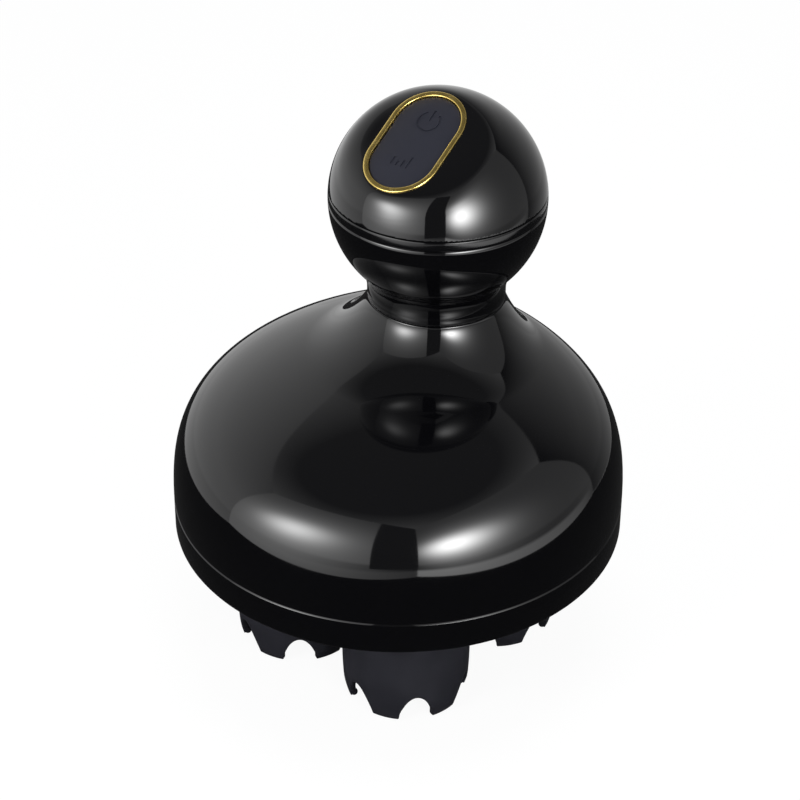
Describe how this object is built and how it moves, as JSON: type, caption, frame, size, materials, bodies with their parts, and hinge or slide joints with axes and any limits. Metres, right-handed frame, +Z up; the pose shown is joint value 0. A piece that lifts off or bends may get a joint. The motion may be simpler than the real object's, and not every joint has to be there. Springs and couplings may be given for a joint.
{
  "type": "electric scalp massager",
  "caption": "Cordless scalp massager: round gloss body with an off-centre ball grip, an oval two-key pad with a gold rim, and turning silicone claws beneath.",
  "frame": {"origin": "on the body's axis, level with the tips of the claws", "axes": "+Z up through the body, the keypad faces -Y and the grip stands towards +Y"},
  "size_m": [0.1126, 0.1126, 0.1452],
  "materials": {
    "gloss_black": "piano black gloss ABS",
    "band_black": "gloss ABS",
    "inner_black": "moulded nylon",
    "gold_trim": "polished gold plating",
    "pad_silicone": "matte silicone",
    "claw_silicone": "satin silicone",
    "hub_plastic": "moulded ABS",
    "seal_rubber": "nitrile rubber",
    "carbon_pill": "carbon-filled silicone",
    "steel": "ground steel",
    "screw_steel": "zinc-plated steel",
    "gear_plastic": "acetal",
    "plate_metal": "pressed aluminium",
    "bush_bronze": "sintered bronze",
    "pinion_brass": "machined brass",
    "motor_steel": "zinc-plated can",
    "cell_wrap": "shrink-wrapped cell",
    "board_green": "solder mask",
    "board_chips": "moulded packages",
    "lead_red": "PVC lead",
    "lead_blue": "PVC lead",
    "ribbon_amber": "polyimide ribbon",
    "contact_gold": "gold-plated brass"
  },
  "bodies": {
    "housing": {"base_ring": "gloss_black", "dome_shell": "gloss_black", "dome_frame": "inner_black", "base_screws": "screw_steel", "base_seal": "seal_rubber", "neck_shell": "gloss_black", "neck_nut": "inner_black", "neck_seal": "seal_rubber", "knob_band": "band_black", "knob_cap": "gloss_black", "trim_ring": "gold_trim", "keypad_mat": "pad_silicone", "key_board": "board_green", "key_board_screws": "screw_steel", "key_ribbon": "ribbon_amber", "battery_cradle": "inner_black", "battery_cell": "cell_wrap", "battery_leads": "lead_red", "main_board": "board_green", "board_parts": "board_chips", "board_screws": "screw_steel", "charge_contacts": "contact_gold", "charge_leads": "lead_red", "motor_can": "motor_steel", "motor_leads": "lead_blue", "gear_plate": "plate_metal", "motor_plate": "plate_metal", "gearbox_screws": "screw_steel", "sun_axle": "steel", "double_axle": "steel", "lower_bushes": "bush_bronze", "upper_bushes": "bush_bronze", "spindle_seals": "seal_rubber"},
    "power_button": {"power_key": "pad_silicone", "power_pill": "carbon_pill"},
    "mode_button": {"mode_key": "pad_silicone", "mode_pill": "carbon_pill"},
    "motor_rotor": {"motor_pinion": "pinion_brass"},
    "double": {"double_gear": "gear_plastic"},
    "sun": {"sun_gear": "gear_plastic"},
    "drive_1": {"spindle_1": "steel", "claw_gear_1": "gear_plastic"},
    "claw_head_1": {"claw_1": "claw_silicone", "claw_hub_1": "hub_plastic"},
    "drive_2": {"spindle_2": "steel", "claw_gear_2": "gear_plastic"},
    "claw_head_2": {"claw_2": "claw_silicone", "claw_hub_2": "hub_plastic"},
    "drive_3": {"spindle_3": "steel", "claw_gear_3": "gear_plastic"},
    "claw_head_3": {"claw_3": "claw_silicone", "claw_hub_3": "hub_plastic"},
    "drive_4": {"spindle_4": "steel", "claw_gear_4": "gear_plastic"},
    "claw_head_4": {"claw_4": "claw_silicone", "claw_hub_4": "hub_plastic"}
  },
  "joints": [
    {"name": "claw_1_spin", "type": "hinge", "parent": "housing", "child": "drive_1", "pos_m": [0.01639, -0.01953, 0.04], "axis": [0, 0, 1], "continuous": true},
    {"name": "claw_1_pull_off", "type": "slide", "parent": "drive_1", "child": "claw_head_1", "axis": [0, 0, -1], "range_m": [0, 0.014]},
    {"name": "claw_2_spin", "type": "hinge", "parent": "housing", "child": "drive_2", "pos_m": [-0.01895, -0.01706, 0.04], "axis": [0, 0, 1], "continuous": true},
    {"name": "claw_2_pull_off", "type": "slide", "parent": "drive_2", "child": "claw_head_2", "axis": [0, 0, -1], "range_m": [0, 0.014]},
    {"name": "claw_3_spin", "type": "hinge", "parent": "housing", "child": "drive_3", "pos_m": [-0.01639, 0.01953, 0.04], "axis": [0, 0, 1], "continuous": true},
    {"name": "claw_3_pull_off", "type": "slide", "parent": "drive_3", "child": "claw_head_3", "axis": [0, 0, -1], "range_m": [0, 0.014]},
    {"name": "claw_4_spin", "type": "hinge", "parent": "housing", "child": "drive_4", "pos_m": [0.01895, 0.01706, 0.04], "axis": [0, 0, 1], "continuous": true},
    {"name": "claw_4_pull_off", "type": "slide", "parent": "drive_4", "child": "claw_head_4", "axis": [0, 0, -1], "range_m": [0, 0.014]},
    {"name": "sun_spin", "type": "hinge", "parent": "housing", "child": "sun", "pos_m": [0, 0, 0.042], "axis": [0, 0, 1], "continuous": true},
    {"name": "double_spin", "type": "hinge", "parent": "housing", "child": "double", "pos_m": [0, 0.024, 0.053], "axis": [0, 0, 1], "continuous": true},
    {"name": "motor_spin", "type": "hinge", "parent": "housing", "child": "motor_rotor", "pos_m": [0, 0.0065, 0.055], "axis": [0, 0, 1], "continuous": true},
    {"name": "power_press", "type": "slide", "parent": "housing", "child": "power_button", "axis": [0, 0.4695, -0.8829], "range_m": [0, 0.0005], "stiffness_N_per_m": 800, "springref_m": -0.0006},
    {"name": "mode_press", "type": "slide", "parent": "housing", "child": "mode_button", "axis": [0, 0.4695, -0.8829], "range_m": [0, 0.0005], "stiffness_N_per_m": 800, "springref_m": -0.0006}
  ],
  "couplings": [
    {"joint": "sun_spin", "follows": "claw_1_spin", "ratio": -1.2174},
    {"joint": "claw_2_spin", "follows": "claw_1_spin", "ratio": 1},
    {"joint": "claw_3_spin", "follows": "claw_1_spin", "ratio": 1},
    {"joint": "claw_4_spin", "follows": "claw_1_spin", "ratio": 1},
    {"joint": "double_spin", "follows": "claw_1_spin", "ratio": 4},
    {"joint": "motor_spin", "follows": "claw_1_spin", "ratio": -16}
  ]
}
